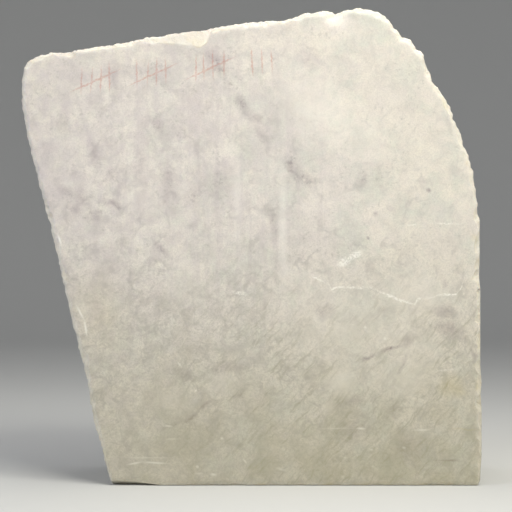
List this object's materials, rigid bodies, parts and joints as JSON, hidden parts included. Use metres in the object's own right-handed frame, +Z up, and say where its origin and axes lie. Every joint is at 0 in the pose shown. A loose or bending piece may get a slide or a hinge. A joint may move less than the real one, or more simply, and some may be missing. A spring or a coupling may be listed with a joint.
{
  "type": "marble block",
  "caption": "Upright block of white marble with faint grey veining: honed front, sawn base, back and right side, split rough along its top and left side.",
  "frame": {"origin": "middle of the block's box, at its base", "axes": "+Z up, -Y out of the honed front face, +X to the right seen from the front"},
  "size_m": [0.369, 0.12, 0.382],
  "materials": {
    "marble": "honed on the front, sawn on the base, back and right side, split and sugary elsewhere"
  },
  "bodies": {
    "root": {"marble_block": "marble"}
  },
  "joints": []
}
